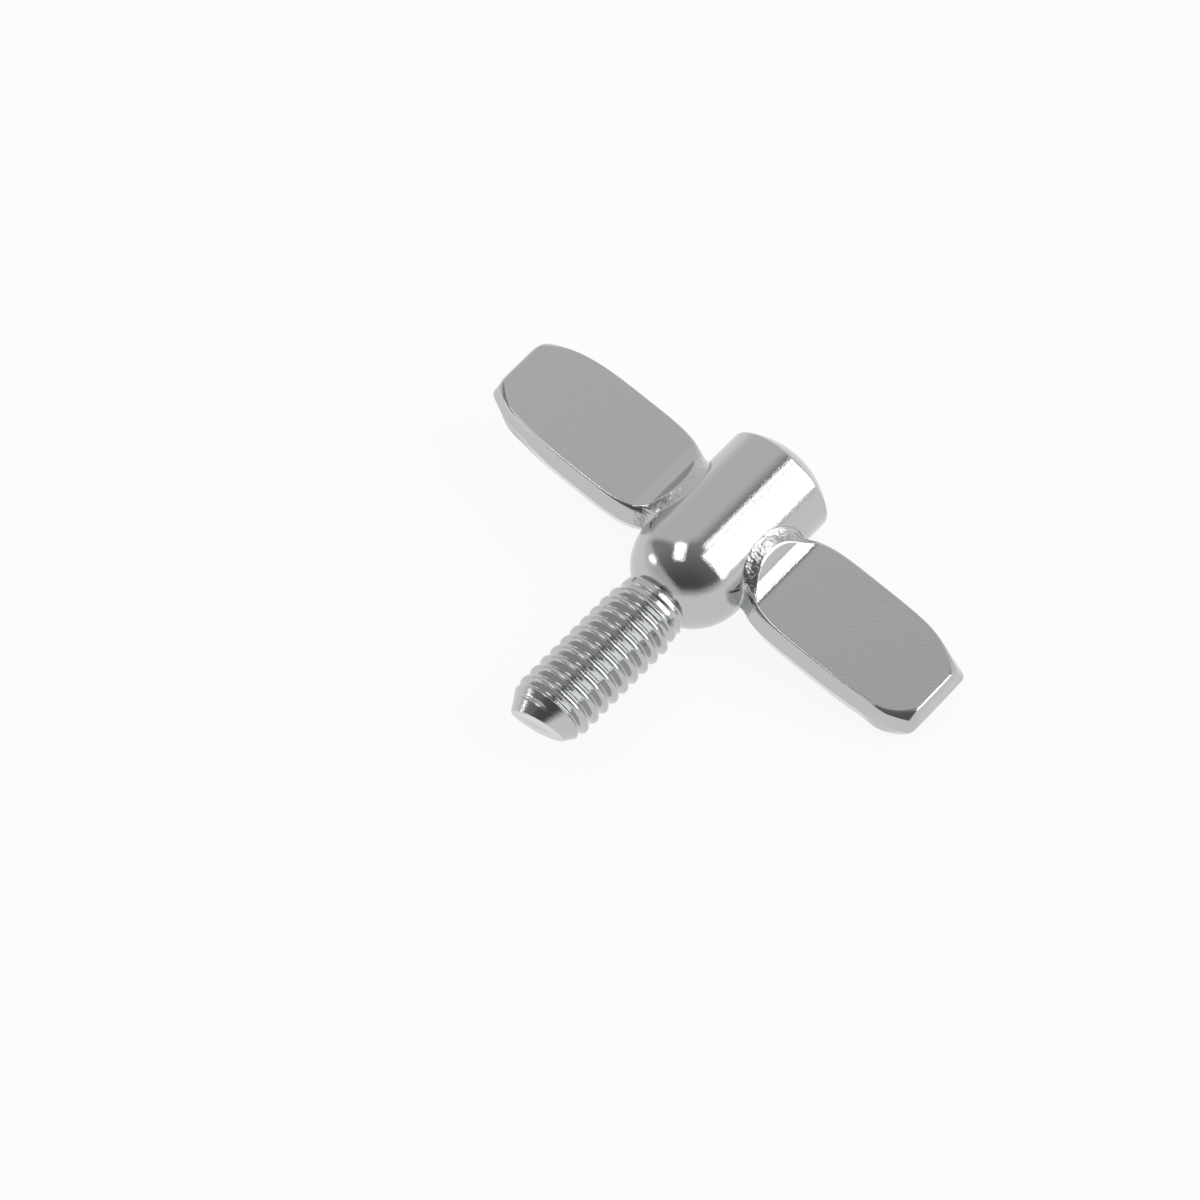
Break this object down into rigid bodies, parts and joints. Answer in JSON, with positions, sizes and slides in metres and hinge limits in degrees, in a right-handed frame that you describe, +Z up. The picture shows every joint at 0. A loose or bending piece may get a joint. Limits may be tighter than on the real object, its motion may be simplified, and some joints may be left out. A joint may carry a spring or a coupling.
{
  "type": "wing screw",
  "caption": "Chrome-plated wing screw forged in one piece: a domed barrel head with flat, facetted wings and a short threaded shank with a tapered point.",
  "frame": {"origin": "on the screw's axis, where the thread begins under the neck", "axes": "+X level under the right wing, +Y along the screw's axis towards the head, +Z up as the screw lies on its barrel and the tip of its right wing"},
  "size_m": [0.0532, 0.0386, 0.012],
  "materials": {
    "chrome_plate": "bright plated, polished over the forged surface"
  },
  "bodies": {
    "root": {"wing_screw": "chrome_plate"}
  },
  "joints": []
}
